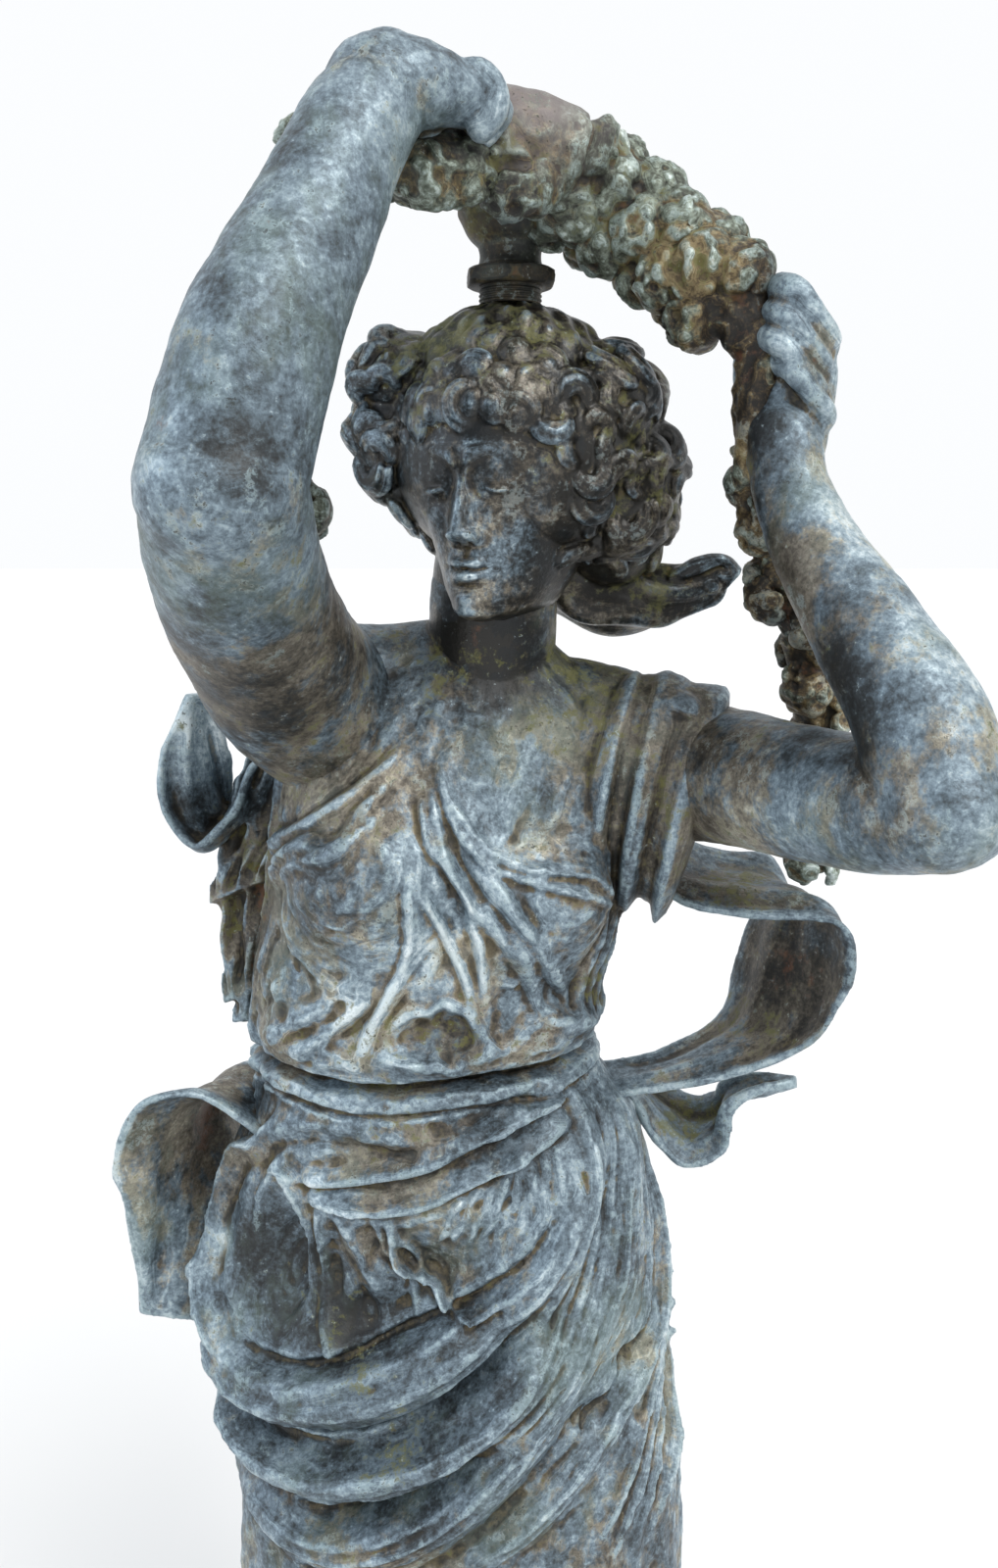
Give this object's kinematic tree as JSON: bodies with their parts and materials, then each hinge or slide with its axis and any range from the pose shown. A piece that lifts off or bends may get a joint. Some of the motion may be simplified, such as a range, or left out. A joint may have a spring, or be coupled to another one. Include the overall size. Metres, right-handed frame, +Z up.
{
  "type": "goddess statue",
  "caption": "Cast goddess in a belted robe and flying scarf, arms raised to hold a rose garland over her head, on a low round plinth.",
  "frame": {"origin": "centre of the plinth's underside, which stands on the ground", "axes": "+Z up, -Y the way that the figure faces, +X towards her left hand"},
  "size_m": [0.4121, 0.3758, 1.2481],
  "materials": {
    "patinated_casting": "weathered blue-grey patina with pale ridges and dark hollows",
    "mossy_casting": "rough ochre, green and brown weathering",
    "fitting_metal": "dark brown rusted metal",
    "plinth_casting": "weathered grey patina"
  },
  "bodies": {
    "root": {"goddess_figure": "patinated_casting", "rose_garland": "mossy_casting", "crown_fitting": "fitting_metal", "plinth": "plinth_casting"}
  },
  "joints": []
}
